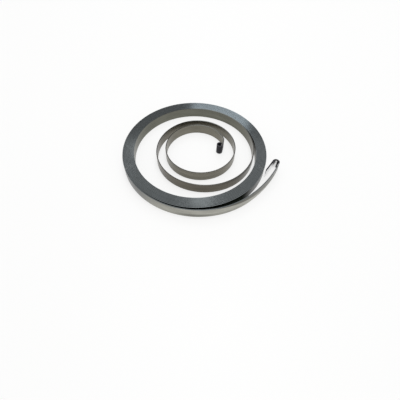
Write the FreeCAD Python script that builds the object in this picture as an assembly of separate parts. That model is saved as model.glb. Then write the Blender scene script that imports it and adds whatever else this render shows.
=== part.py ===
import FreeCAD, Part
import math
import os

os.makedirs("parts", exist_ok=True)

# Steel strip, standing on its edge
strip_width = 5.0
strip_thickness = 0.45

# Wound pack: nine turns and a part turn, a little closer at the back than at the front
pack_diameter = 68.0
pack_half_turns = 18
pack_gap_back = 0.05
pack_gap_front = 0.13

# Outermost turn where it leaves the pack, and the long arm it becomes, opening out in steps of radius
arm_leave_angle = 215.0
arm_opening_steps = (1.725, 20.5)
arm_sweeps = (95.0, 25.0)

# Outer hook that drops over a post in the housing
hook_inner_diameter = 2.4
hook_sweep = 172.0
hook_tail_length = 7.0

# Free turns inside the pack, from the pack inwards, tightening in steps of radius
free_leave_sweep = 30.0
free_tightening_steps = (2.115, 3.1, 3.0, 2.9, 1.1, 1.0, 2.0)
free_sweeps = (60.0, 120.0, 120.0, 120.0, 120.0, 120.0, 98.0)

# Inner end: a bend, a short straight and the rolled eye that the hub catches
bend_inner_radius = 2.3
bend_sweep = 33.0
eye_straight_length = 3.4
eye_inner_diameter = 2.1
eye_sweep = 300.0

# Mean radii of the pack's outermost turn and of the steps between half turns
half_thickness = strip_thickness / 2
outer_turn_radius = pack_diameter / 2 - half_thickness
step_back = (strip_thickness + pack_gap_back) / 2
step_front = (strip_thickness + pack_gap_front) / 2

# Pack from its inner end outwards: half turns, then the part turn that ends at the arm
pack_steps = [step_back, step_front] * (pack_half_turns // 2)
pack_bends = []
turn_radius = outer_turn_radius - sum(pack_steps)
for step in pack_steps:
    pack_bends.append((turn_radius, 180.0))
    turn_radius += step
pack_bends.append((turn_radius, arm_leave_angle - 90.0))

# Free turns and arm, each stretch as a mean radius and a sweep, from the inside outwards
free_radius = pack_bends[0][0]
free_bends = [(free_radius, free_leave_sweep)]
for step, sweep in zip(free_tightening_steps, free_sweeps):
    free_radius -= step
    free_bends.insert(0, (free_radius, sweep))
arm_bends = []
arm_radius = turn_radius
for step, sweep in zip(arm_opening_steps, arm_sweeps):
    arm_radius += step
    arm_bends.append((arm_radius, sweep))

# Ends of the strip
eye_radius = eye_inner_diameter / 2 + half_thickness
hook_radius = hook_inner_diameter / 2 + half_thickness
bend = (bend_inner_radius + half_thickness, bend_sweep)

# A straight stretch has no radius and gives its length instead of a sweep
stretches = [(eye_radius, eye_sweep), (None, eye_straight_length), bend]
stretches += free_bends + pack_bends
inner_count = len(stretches)
stretches += arm_bends + [(hook_radius, hook_sweep), (None, hook_tail_length)]


def direction(angle):
    return FreeCAD.Vector(math.cos(math.radians(angle)), math.sin(math.radians(angle)), 0)


def side_edge(start, heading, radius, amount, offset):
    # One wall of one stretch, offset outwards from the strip's middle line
    if radius is None:
        first = start + direction(heading - 90) * offset
        return Part.LineSegment(first, first + direction(heading) * amount)
    centre = start + direction(heading + 90) * radius
    circle = Part.Circle(centre, FreeCAD.Vector(0, 0, 1), radius + offset)
    first_angle = math.radians(heading - 90)
    return Part.ArcOfCircle(circle, first_angle, first_angle + math.radians(amount))


def walk(start, heading, pieces):
    # Places each stretch tangent to the one before it
    placed = []
    for radius, amount in pieces:
        placed.append((start, heading, radius, amount))
        if radius is None:
            start = start + direction(heading) * amount
        else:
            centre = start + direction(heading + 90) * radius
            heading += amount
            start = centre + direction(heading - 90) * radius
    return placed


# Heading at the inner tip, and the shift that puts the winding axis at the origin
turned = sum(amount for radius, amount in stretches[:inner_count] if radius is not None)
first_heading = arm_leave_angle + 90 - turned
trial = walk(FreeCAD.Vector(0, 0, 0), first_heading, stretches)
last_start, last_heading, last_radius, last_amount = trial[inner_count - 1]
winding_axis = last_start + direction(last_heading + 90) * last_radius
placed = walk(winding_axis * -1, first_heading, stretches)

# Outline: outer wall outwards, end edge, inner wall back, end edge
outer_wall = [side_edge(*stretch, half_thickness).toShape() for stretch in placed]
inner_wall = [side_edge(*stretch, -half_thickness).toShape() for stretch in placed]
inner_tip = Part.LineSegment(inner_wall[0].firstVertex().Point, outer_wall[0].firstVertex().Point)
outer_tip = Part.LineSegment(outer_wall[-1].lastVertex().Point, inner_wall[-1].lastVertex().Point)
outline = outer_wall + [outer_tip.toShape()] + inner_wall[::-1] + [inner_tip.toShape()]

# The strip itself
profile = Part.Face(Part.Wire(outline))
strip = profile.extrude(FreeCAD.Vector(0, 0, strip_width))
strip.exportStep("parts/spring_strip.step")
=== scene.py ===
import math
import random
import bpy
import bmesh
from mathutils import Matrix, Vector


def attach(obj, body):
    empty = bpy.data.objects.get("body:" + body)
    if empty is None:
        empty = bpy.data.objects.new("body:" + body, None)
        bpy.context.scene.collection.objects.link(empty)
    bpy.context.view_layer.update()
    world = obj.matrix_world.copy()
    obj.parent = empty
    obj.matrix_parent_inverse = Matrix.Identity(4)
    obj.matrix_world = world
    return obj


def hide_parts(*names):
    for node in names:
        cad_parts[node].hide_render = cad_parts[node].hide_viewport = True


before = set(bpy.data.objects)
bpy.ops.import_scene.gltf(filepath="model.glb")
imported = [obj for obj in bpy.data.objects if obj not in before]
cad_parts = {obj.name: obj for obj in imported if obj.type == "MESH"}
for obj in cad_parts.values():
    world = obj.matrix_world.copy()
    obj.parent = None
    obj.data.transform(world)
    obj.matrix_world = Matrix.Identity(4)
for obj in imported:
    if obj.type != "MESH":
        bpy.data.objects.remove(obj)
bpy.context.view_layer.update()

mm = 0.001
print("frame loaded")

# Spring strip
# Lengths in millimetres, sweeps and angles in degrees
springShape = {
    "stripWidth": 5.0,
    "stripThickness": 0.45,
    "edgeRounding": 0.03,
    "roundingSegments": 3,
    "packDiameter": 68.0,
    "packHalfTurns": 18,
    "gapBack": 0.05,
    "gapFront": 0.13,
    "gapUnevenness": 0.2,             # share by which the gaps of single turns differ
    "gapSeed": 7,
    "armLeaveAngle": 215.0,
    "armOpeningSteps": (1.725, 20.5),
    "armSweeps": (95.0, 25.0),
    "hookInnerDiameter": 2.4,
    "hookSweep": 172.0,
    "hookTail": 7.0,
    "freeLeaveSweep": 30.0,
    "freeTighteningSteps": (2.115, 3.1, 3.0, 2.9, 1.1, 1.0, 2.0),
    "freeSweeps": (60.0, 120.0, 120.0, 120.0, 120.0, 120.0, 98.0),
    "bendInnerRadius": 2.3,
    "bendSweep": 33.0,
    "eyeStraight": 3.4,
    "eyeInnerDiameter": 2.1,
    "eyeSweep": 300.0,
    "ringSpacing": 1.2,               # distance between cross sections along the strip
    "largestStep": 9.0,               # and the most that one step turns, in degrees
    "mergeDistance": 0.002,
    "smoothBelow": 12.0,              # edges that turn by fewer degrees are shaded smooth
    "edgeLift": 0.03,                 # how unevenly the turns stand in height
    "liftWave": 40.0,                 # length of strip over which they rise and sink
}


def heading(angle):
    return Vector((math.cos(math.radians(angle)), math.sin(math.radians(angle)), 0))


def unevenGaps(shape):
    # The gaps differ a little from turn to turn and add up to the same pack
    dice = random.Random(shape["gapSeed"])
    halfTurns = shape["packHalfTurns"]
    gaps = []
    for side in ("gapBack", "gapFront"):
        raw = [1 + shape["gapUnevenness"] * dice.uniform(-1, 1) for _ in range(halfTurns // 2)]
        scale = shape[side] * len(raw) / sum(raw)
        gaps.append([value * scale for value in raw])
    return [gap for pair in zip(*gaps) for gap in pair]


def springStretches(shape):
    # From the inner tip outwards: (mean radius, sweep), or (None, length) where the strip is straight
    half = shape["stripThickness"] / 2
    steps = [(shape["stripThickness"] + gap) / 2 for gap in unevenGaps(shape)]
    radius = shape["packDiameter"] / 2 - half - sum(steps)
    pack = []
    inward = radius
    for step in steps:
        pack.append((radius, 180.0))
        radius += step
    pack.append((radius, shape["armLeaveAngle"] - 90.0))
    free = [(inward, shape["freeLeaveSweep"])]
    for step, sweep in zip(shape["freeTighteningSteps"], shape["freeSweeps"]):
        inward -= step
        free.insert(0, (inward, sweep))
    arm = []
    for step, sweep in zip(shape["armOpeningSteps"], shape["armSweeps"]):
        radius += step
        arm.append((radius, sweep))
    inner = [
        (shape["eyeInnerDiameter"] / 2 + half, shape["eyeSweep"]),
        (None, shape["eyeStraight"]),
        (shape["bendInnerRadius"] + half, shape["bendSweep"]),
    ] + free + pack
    outer = arm + [(shape["hookInnerDiameter"] / 2 + half, shape["hookSweep"]), (None, shape["hookTail"])]
    return inner, outer


def placed(start, angle, stretches):
    # Each stretch starts tangent to the one before it
    for radius, amount in stretches:
        centre = start if radius is None else start + heading(angle + 90) * radius
        yield start, angle, centre, radius, amount
        if radius is None:
            start = start + heading(angle) * amount
        else:
            angle += amount
            start = centre + heading(angle - 90) * radius


def stripSection(shape):
    # Upright cross section with rounded edges; outward goes from -1 on the inner face to 1 on the outer
    bm = bmesh.new()
    bmesh.ops.create_grid(bm, x_segments=1, y_segments=1, size=0.5)
    bmesh.ops.scale(bm, vec=(shape["stripThickness"], shape["stripWidth"], 1), verts=bm.verts)
    bmesh.ops.bevel(bm, geom=bm.verts[:], offset=shape["edgeRounding"], offset_type="OFFSET",
                    affect="VERTICES", segments=shape["roundingSegments"], profile=0.5, material=-1)
    bmesh.ops.rotate(bm, verts=bm.verts, matrix=Matrix.Rotation(math.pi / 2, 3, "X"))
    bmesh.ops.translate(bm, verts=bm.verts, vec=(0, 0, shape["stripWidth"] / 2))
    bm.verts.layers.float.new("along")
    outward = bm.verts.layers.float.new("outward")
    for vert in bm.verts:
        vert[outward] = vert.co.x / (shape["stripThickness"] / 2)
    mesh = bpy.data.meshes.new("stripSection")
    bm.to_mesh(mesh)
    bm.free()
    return mesh


def sweptStretch(section, shape, stretch, length):
    # One stretch of strip, with the distance from the inner tip kept in along
    start, angle, centre, radius, amount = stretch
    bm = bmesh.new()
    bm.from_mesh(section)
    turn = Matrix.Rotation(math.radians(angle - 90), 4, "Z")
    bmesh.ops.transform(bm, matrix=Matrix.Translation(start) @ turn, verts=bm.verts)
    if radius is None:
        steps = max(2, round(amount / shape["ringSpacing"]))
        spun, shift = 0.0, heading(angle) * (amount / steps)
    else:
        stepAngle = min(shape["largestStep"], math.degrees(shape["ringSpacing"] / radius))
        steps = math.ceil(amount / stepAngle)
        spun, shift = math.radians(amount), Vector()
    outline = bm.edges[:] + bm.verts[:]
    bmesh.ops.delete(bm, geom=bm.faces[:], context="FACES_ONLY")
    bmesh.ops.spin(bm, geom=outline, cent=centre, axis=(0, 0, 1), dvec=shift, angle=spun, steps=steps,
                   use_merge=False, use_normal_flip=False, use_duplicate=False)
    along = bm.verts.layers.float["along"]
    for number, vert in enumerate(bm.verts):
        if radius is None:
            vert[along] = length + (vert.co - start).dot(heading(angle))
        else:
            swept = (vert.co - centre).xy.angle_signed(heading(angle - 90).xy)
            if swept < 0 and number >= len(section.vertices):
                swept += math.tau
            vert[along] = length + radius * max(swept, 0)
    return bm


def woundStrip(shape):
    inner, outer = springStretches(shape)
    turned = sum(amount for radius, amount in inner if radius is not None)
    angle = shape["armLeaveAngle"] + 90 - turned
    windingAxis = list(placed(Vector(), angle, inner))[-1][2]
    section = stripSection(shape)
    whole = bmesh.new()
    length = 0.0
    for stretch in placed(-windingAxis, angle, inner + outer):
        bm = sweptStretch(section, shape, stretch, length)
        piece = bpy.data.meshes.new("stretch")
        bm.to_mesh(piece)
        bm.free()
        whole.from_mesh(piece)
        bpy.data.meshes.remove(piece)
        radius, amount = stretch[3:]
        length += amount if radius is None else radius * math.radians(amount)
    bpy.data.meshes.remove(section)
    bmesh.ops.remove_doubles(whole, verts=whole.verts, dist=shape["mergeDistance"])
    bmesh.ops.holes_fill(whole, edges=[edge for edge in whole.edges if edge.is_boundary], sides=0)
    bmesh.ops.recalc_face_normals(whole, faces=whole.faces)

    # Smooth along the strip, with flat faces and edges across it
    for face in whole.faces:
        face.smooth = True
    for edge in whole.edges:
        edge.smooth = edge.calc_face_angle(0) < math.radians(shape["smoothBelow"])

    # Turns stand a little unevenly, and rest on their lowest places
    along = whole.verts.layers.float["along"]
    for vert in whole.verts:
        wave = vert[along] / shape["liftWave"]
        vert.co.z += shape["edgeLift"] * (0.5 + 0.3 * math.sin(wave) + 0.2 * math.sin(2.3 * wave + 1))
    bmesh.ops.scale(whole, vec=(mm, mm, mm), verts=whole.verts)
    print("strip wound,", round(length), "mm long,", len(whole.faces), "faces")
    return whole, length


bm, stripLength = woundStrip(springShape)
stripMesh = bpy.data.meshes.new("springStrip")
bm.to_mesh(stripMesh)
bm.free()
springStrip = bpy.data.objects.new("springStrip", stripMesh)
bpy.context.scene.collection.objects.link(springStrip)

# Finish of the strip
# Distances are in millimetres along the strip, from the inner tip or back from the outer one
# A fade gives the two distances between which one finish turns into the next
steelFinish = {
    "faceToneDrift": (                           # face colour from the eye outwards, in brown and olive tones
        (20, (0.18, 0.17, 0.14)),              # straw
        (130, (0.18, 0.17, 0.14)),
        (175, (0.12, 0.11, 0.09)),             # brown
        (215, (0.11, 0.10, 0.08)),
        (255, (0.15, 0.15, 0.125)),            # olive grey
    ),
    "packShadeColour": (0.050, 0.052, 0.050),       # faces inside the pack, painted near black as shade between the turns
    "packShadeFade": (460.0, 500.0),
    "wedgeShadeColour": (0.030, 0.034, 0.029),        # outer face of the turn that the arm leaves, painted near black as shade in the narrow gap behind the arm
    "wedgeShadeFade": (243.0, 251.0),
    "wedgeShadeEndFade": (300.0, 320.0),
    "outerGrey": (0.13, 0.132, 0.13),          # outside of the outermost turn
    "outerFade": (150.0, 235.0),
    "outerBright": (0.37, 0.365, 0.325),       # and where it becomes the arm
    "brightFade": (72.0, 94.0),
    "outerShadeBands": (                          # painted shade on the outermost turn, a contact shadow along its lower edge and a darker upper part further round: from, to, lowest, highest, share kept
        (53, 68, 0.3, 1.9, 0.60),
        (86, 125, 2.7, 6.0, 0.68),
    ),
    "shadeBandSoftness": (6.0, 0.6),              # along the strip and up it
    "armEdgeShade": (0.100, 0.098, 0.078),         # painted shade, a darker band that runs out along the arm's upper edge
    "armEdgeShadeRun": (13.0, 58.0),
    "armEdgeShadeFade": (58.0, 68.0),
    "armEdgeShadeLeast": 0.1,                      # how wide it is where it runs out
    "armEdgeShadeSoftness": 0.5,
    # upper and lower edges, painted dark as shade for the dark surroundings they reflect, and darker still
    # on the free turns to dim their highlight
    "shadedEdgeColour": (0.062, 0.068, 0.070),
    "shadedFreeEdgeColour": (0.045, 0.044, 0.040),
    "shadedFreeEdgeFade": (260.0, 310.0),
    "edgeTilt": 0.3,                           # faces that look up or down more than this are edges
    "scaleColour": (0.022, 0.021, 0.026),      # annealed ends
    "innerScaleFade": (7.5, 10.0),
    "outerScaleFade": (11.0, 14.0),
    "scaleMetal": 0.55,
    "scaleRoughness": 0.25,                    # what the scale adds to the roughness
    "hookFace": (0.87, 0.87, 0.87),            # bare steel at the tip
    "hookRubbedFade": (8.9, 9.7),
    "hookRimFade": (0.7, 0.3),                 # how far down from the upper edge the scale is kept
    "dullTint": (0.4, 0.4, 0.4),               # what is left of the gloss on scale, and on the painted shade behind the arm
    "faceRoughness": 0.30,
    "edgeRoughness": 0.12,
    "roughnessDrift": (0.04, 0.05),            # how far the stains take it down and up
    "rollingLines": 0.08,
    "oilStains": 0.12,
    "edgeUneven": 0.2,                         # how much of the lines and stains the edges show
    "noiseRange": (0.3, 0.7),
    "edgeStainScale": (0.25, 0.25, 0.25),
    "edgeLineScale": (0.12, 3.0, 0.5),
    "faceStainScale": (0.09, 0.16, 0.3),
    "faceLineScale": (0.02, 5.0, 0.7),
    "bumpStrength": 0.35,
    "bumpHeight": 0.02,
}


def newMaterial(name):
    material = bpy.data.materials.new(name)
    material.use_nodes = True
    tree = material.node_tree
    tree.nodes.clear()
    output = tree.nodes.new("ShaderNodeOutputMaterial")
    shader = tree.nodes.new("ShaderNodeBsdfPrincipled")
    tree.links.new(shader.outputs[0], output.inputs["Surface"])
    return material, tree, shader


def put(tree, socket, value):
    if isinstance(value, bpy.types.NodeSocket):
        tree.links.new(value, socket)
    else:
        socket.default_value = value


def calc(tree, operation, first, second=0.0):
    node = tree.nodes.new("ShaderNodeMath")
    node.operation = operation
    put(tree, node.inputs[0], first)
    put(tree, node.inputs[1], second)
    return node.outputs[0]


def fade(tree, value, low, high, start=0.0, end=1.0):
    # Runs smoothly from start to end as value goes from low to high
    node = tree.nodes.new("ShaderNodeMapRange")
    node.interpolation_type = "SMOOTHSTEP"
    for index, item in enumerate((value, low, high, start, end)):
        put(tree, node.inputs[index], item)
    return node.outputs[0]


def blendColours(tree, share, first, second, kind="MIX"):
    node = tree.nodes.new("ShaderNodeMix")
    node.data_type = "RGBA"
    node.blend_type = kind
    put(tree, node.inputs["Factor"], share)
    put(tree, node.inputs["A"], (*first, 1) if isinstance(first, tuple) else first)
    put(tree, node.inputs["B"], (*second, 1) if isinstance(second, tuple) else second)
    return node.outputs["Result"]


def stripPlace(tree):
    # Place on the strip: along it, from inner to outer face, and height, all but the second in millimetres,
    # and the place in the pack, in which neighbouring turns share their stains
    onStrip = []
    for name in ("along", "outward"):
        attribute = tree.nodes.new("ShaderNodeAttribute")
        attribute.attribute_name = name
        onStrip.append(attribute.outputs["Fac"])
    coordinates = tree.nodes.new("ShaderNodeTexCoord")
    position = tree.nodes.new("ShaderNodeSeparateXYZ")
    tree.links.new(coordinates.outputs["Object"], position.inputs[0])
    inPack = [calc(tree, "DIVIDE", position.outputs[axis], mm) for axis in "XYZ"]
    onStrip.append(inPack[2])
    return onStrip, inPack


def stripNoise(tree, place, scales, detail=3.0):
    # Noise stretched by a scale of its own in each of the place's three directions
    vector = tree.nodes.new("ShaderNodeCombineXYZ")
    for index, (value, scale) in enumerate(zip(place, scales)):
        put(tree, vector.inputs[index], calc(tree, "MULTIPLY", value, scale))
    noise = tree.nodes.new("ShaderNodeTexNoise")
    noise.inputs["Scale"].default_value = 1.0
    noise.inputs["Detail"].default_value = detail
    tree.links.new(vector.outputs[0], noise.inputs["Vector"])
    return noise.outputs["Fac"]


def drift(tree, value, stops):
    # Colour that changes with the distance along the strip
    ramp = tree.nodes.new("ShaderNodeValToRGB")
    reach = stops[-1][0]
    while len(ramp.color_ramp.elements) < len(stops):
        ramp.color_ramp.elements.new(1.0)
    for element, (distance, colour) in zip(ramp.color_ramp.elements, stops):
        element.position = distance / reach
        element.color = (*colour, 1)
    put(tree, ramp.inputs[0], calc(tree, "DIVIDE", value, reach))
    return ramp.outputs[0]


def onOuterSide(tree, outward):
    # 0 on the strip's inner face, 1 on its outer one
    return fade(tree, outward, 0.0, 0.5)


# Painted shade: the outer face of the turn that the arm leaves, in the narrow gap behind the arm
def wedgeShadePart(tree, finish, outward, fromOuter):
    inWedge = calc(tree, "MULTIPLY", fade(tree, fromOuter, *finish["wedgeShadeFade"]),
                 fade(tree, fromOuter, *finish["wedgeShadeEndFade"], 1.0, 0.0))
    return calc(tree, "MULTIPLY", inWedge, onOuterSide(tree, outward))


def softBand(tree, value, low, high, softness):
    # 1 between low and high, and 0 outside
    return calc(tree, "MULTIPLY", fade(tree, value, low - softness, low + softness),
                fade(tree, value, high - softness, high + softness, 1.0, 0.0))


# Painted shade on the outer face of the outermost turn: a contact shadow along its lower edge and a darker
# upper part
def outerBandShade(tree, finish, place, fromOuter):
    outward, height = place[1:]
    along, up = finish["shadeBandSoftness"]
    shade = 1.0
    for start, stop, low, high, kept in finish["outerShadeBands"]:
        within = softBand(tree, fromOuter, start, stop, along)
        darkBand = calc(tree, "MULTIPLY", within, softBand(tree, height, low, high, up))
        darkBand = calc(tree, "MULTIPLY", darkBand, onOuterSide(tree, outward))
        shade = calc(tree, "MULTIPLY", fade(tree, darkBand, 0.0, 1.0, 1.0, kept), shade)
    return shade


def faceColour(tree, finish, place, fromOuter):
    along, outward, height = place
    colour = drift(tree, along, finish["faceToneDrift"])
    # painted shade on the faces inside the pack
    colour = blendColours(tree, fade(tree, along, *finish["packShadeFade"]), colour, finish["packShadeColour"])
    # painted shade in the gap behind the arm
    colour = blendColours(tree, wedgeShadePart(tree, finish, outward, fromOuter), colour, finish["wedgeShadeColour"])
    outside = onOuterSide(tree, outward)
    outer = fade(tree, fromOuter, *finish["outerFade"], 1.0, 0.0)
    colour = blendColours(tree, calc(tree, "MULTIPLY", outer, outside), colour, finish["outerGrey"])
    bright = fade(tree, fromOuter, *finish["brightFade"], 1.0, 0.0)
    colour = blendColours(tree, calc(tree, "MULTIPLY", bright, outside), colour, finish["outerBright"])
    # painted shade on the outermost turn
    colour = blendColours(tree, 1.0, colour, outerBandShade(tree, finish, place, fromOuter), "MULTIPLY")

    # Painted shade: a darker band along the arm's upper edge, widest near the hook, which runs out along
    # the arm
    width = springShape["stripWidth"]
    reach = fade(tree, fromOuter, *finish["armEdgeShadeRun"], width, finish["armEdgeShadeLeast"])
    border = calc(tree, "SUBTRACT", width, reach)
    armShade = fade(tree, height, border, calc(tree, "ADD", border, finish["armEdgeShadeSoftness"]))
    onArm = fade(tree, fromOuter, *finish["armEdgeShadeFade"], 1.0, 0.0)
    return blendColours(tree, calc(tree, "MULTIPLY", armShade, onArm), colour, finish["armEdgeShade"])


def stripMaterial(name, finish, onEdge):
    material, tree, shader = newMaterial(name)
    place, inPack = stripPlace(tree)
    along, outward, height = place
    fromOuter = calc(tree, "SUBTRACT", stripLength, along)
    if onEdge:
        stains = stripNoise(tree, inPack, finish["edgeStainScale"], detail=4.0)
        lines = stripNoise(tree, place, finish["edgeLineScale"])
        # painted shade on the edges, darker on the free turns
        free = fade(tree, along, *finish["shadedFreeEdgeFade"], 1.0, 0.0)
        colour = blendColours(tree, free, finish["shadedEdgeColour"], finish["shadedFreeEdgeColour"])
        roughness, uneven = finish["edgeRoughness"], finish["edgeUneven"]
    else:
        stains = stripNoise(tree, place, finish["faceStainScale"])
        lines = stripNoise(tree, place, finish["faceLineScale"])
        colour = faceColour(tree, finish, place, fromOuter)
        roughness, uneven = finish["faceRoughness"], 1.0
    stain, line = finish["oilStains"] * uneven, finish["rollingLines"] * uneven
    shade = calc(tree, "ADD", fade(tree, stains, *finish["noiseRange"], 1 - stain, 1 + stain),
                 fade(tree, lines, *finish["noiseRange"], -line, line))
    colour = blendColours(tree, 1.0, colour, shade, "MULTIPLY")

    # Both ends were annealed to dark scale, which is rubbed off the faces of the hook's tip
    inner = fade(tree, along, *finish["innerScaleFade"], 1.0, 0.0)
    outer = fade(tree, fromOuter, *finish["outerScaleFade"], 1.0, 0.0)
    if onEdge:
        scaled = dull = outer
    else:
        low, high = [springShape["stripWidth"] - depth for depth in finish["hookRimFade"]]
        kept = calc(tree, "MAXIMUM", fade(tree, height, low, high),
                    fade(tree, fromOuter, *finish["hookRubbedFade"]))
        scaled = calc(tree, "MULTIPLY", outer, kept)
        # the gloss is dulled on the scale and in the painted shade behind the arm
        dull = calc(tree, "MAXIMUM", scaled, wedgeShadePart(tree, finish, outward, fromOuter))
    dark = calc(tree, "MAXIMUM", inner, scaled)
    colour = blendColours(tree, outer, colour, finish["hookFace"])
    colour = blendColours(tree, dark, colour, finish["scaleColour"])
    put(tree, shader.inputs["Base Color"], colour)
    put(tree, shader.inputs["Metallic"], fade(tree, dark, 0.0, 1.0, 1.0, finish["scaleMetal"]))
    put(tree, shader.inputs["Specular Tint"], blendColours(tree, dull, (1.0, 1.0, 1.0), finish["dullTint"]))
    down, up = finish["roughnessDrift"]
    rough = fade(tree, stains, *finish["noiseRange"], roughness - down * uneven, roughness + up * uneven)
    rough = calc(tree, "ADD", rough, calc(tree, "MULTIPLY", dark, finish["scaleRoughness"]))
    put(tree, shader.inputs["Roughness"], rough)
    if not onEdge:
        bump = tree.nodes.new("ShaderNodeBump")
        bump.inputs["Strength"].default_value = finish["bumpStrength"]
        bump.inputs["Distance"].default_value = finish["bumpHeight"] * mm
        put(tree, bump.inputs["Height"], lines)
        put(tree, shader.inputs["Normal"], bump.outputs[0])
    return material


stripMesh.materials.append(stripMaterial("stripFaces", steelFinish, False))
stripMesh.materials.append(stripMaterial("stripEdges", steelFinish, True))
for polygon in stripMesh.polygons:
    if abs(polygon.normal.z) > steelFinish["edgeTilt"]:
        polygon.material_index = 1

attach(springStrip, "root")
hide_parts("spring_strip")
print("strip finished")

# Floor, light and camera
studio = {
    "floorSize": 4.0,
    "floorColour": (0.90, 0.90, 0.89),
    "floorRoughness": 0.5,
    "floorWhite": 0.70,               # how much of the floor's own white hides its shading
    "worldStrength": 0.53,
    "lampDistance": 0.8,
    "softboxes": (                    # azimuth, elevation, size, how bright the panel looks, and its colour
        ("ceilingLamp", 10.0, 86.0, (0.4, 0.4), 5.8, (1, 1, 1)),
        ("softPanel", 92.5, 53.8, (0.56, 0.29), 1.2, (1, 1, 1)),
        ("frontWindow", 89.0, 56.0, (0.06, 0.08), 2.8, (1, 1, 1)),
        ("backWindow", 85.0, 39.2, (0.17, 0.085), 5.0, (0.84, 0.93, 1.0)),
        ("leftWindow", 110.0, 45.0, (0.02, 0.02), 5.0, (1, 1, 1)),
    ),
    "aim": (0.00313, -0.02592, 0.0),
    "distance": 0.136,
    "elevation": 55.09,
    "roll": 1.98,
    "lens": 27.887,
    "sensorWidth": 36,
    "clipStart": 0.005,
}


def seenWhite(tree):
    # 1 where the camera, a reflection or a view through glass looks, 0 for light on the object
    path = tree.nodes.new("ShaderNodeLightPath")
    glossy = calc(tree, "MAXIMUM", path.outputs["Is Camera Ray"], path.outputs["Is Glossy Ray"])
    return calc(tree, "MAXIMUM", glossy, path.outputs["Is Transmission Ray"])


def paleFloor(studio):
    material, tree, shader = newMaterial("paleFloor")
    shader.inputs["Base Color"].default_value = (*studio["floorColour"], 1)
    shader.inputs["Roughness"].default_value = studio["floorRoughness"]
    white = tree.nodes.new("ShaderNodeEmission")
    mixed = tree.nodes.new("ShaderNodeMixShader")
    put(tree, mixed.inputs[0], calc(tree, "MULTIPLY", seenWhite(tree), studio["floorWhite"]))
    tree.links.new(shader.outputs[0], mixed.inputs[1])
    tree.links.new(white.outputs[0], mixed.inputs[2])
    tree.links.new(mixed.outputs[0], tree.nodes["Material Output"].inputs["Surface"])
    return material


bm = bmesh.new()
bmesh.ops.create_grid(bm, x_segments=1, y_segments=1, size=studio["floorSize"] / 2)
floorMesh = bpy.data.meshes.new("studioFloor")
bm.to_mesh(floorMesh)
bm.free()
studioFloor = bpy.data.objects.new("studioFloor", floorMesh)
bpy.context.scene.collection.objects.link(studioFloor)
floorMesh.materials.append(paleFloor(studio))

world = bpy.data.worlds.new("studioWorld")
bpy.context.scene.world = world
world.use_nodes = True
tree = world.node_tree
sky = tree.nodes["Background"]
sky.inputs["Color"].default_value = (1, 1, 1, 1)
put(tree, sky.inputs["Strength"], fade(tree, seenWhite(tree), 0, 1, studio["worldStrength"]))


def addSoftbox(name, azimuth, elevation, size, brightness, colour):
    # Azimuth counts from +X towards +Y, and the panel faces the middle of the spring
    across, up = math.radians(azimuth), math.radians(elevation)
    place = Vector((math.cos(up) * math.cos(across), math.cos(up) * math.sin(across), math.sin(up)))
    data = bpy.data.lights.new(name, "AREA")
    data.shape = "RECTANGLE"
    data.size, data.size_y = size
    data.energy = brightness * math.pi * size[0] * size[1]
    data.color = colour
    lamp = bpy.data.objects.new(name, data)
    lamp.location = place * studio["lampDistance"]
    lamp.rotation_euler = (-place).to_track_quat("-Z", "Y").to_euler()
    bpy.context.scene.collection.objects.link(lamp)


for softbox in studio["softboxes"]:
    addSoftbox(*softbox)

cameraData = bpy.data.cameras.new("photoCamera")
cameraData.sensor_width = studio["sensorWidth"]
cameraData.sensor_fit = "HORIZONTAL"
cameraData.lens = studio["lens"]
cameraData.clip_start = studio["clipStart"]
photoCamera = bpy.data.objects.new("photoCamera", cameraData)
bpy.context.scene.collection.objects.link(photoCamera)
tilt = math.radians(90 - studio["elevation"])
view = Matrix.Rotation(tilt, 4, "X") @ Matrix.Rotation(math.radians(studio["roll"]), 4, "Z")
back = view.to_3x3() @ Vector((0, 0, studio["distance"]))
photoCamera.matrix_world = Matrix.Translation(Vector(studio["aim"]) + back) @ view
bpy.context.scene.camera = photoCamera
bpy.context.scene.view_settings.view_transform = "Standard"
print("studio set")
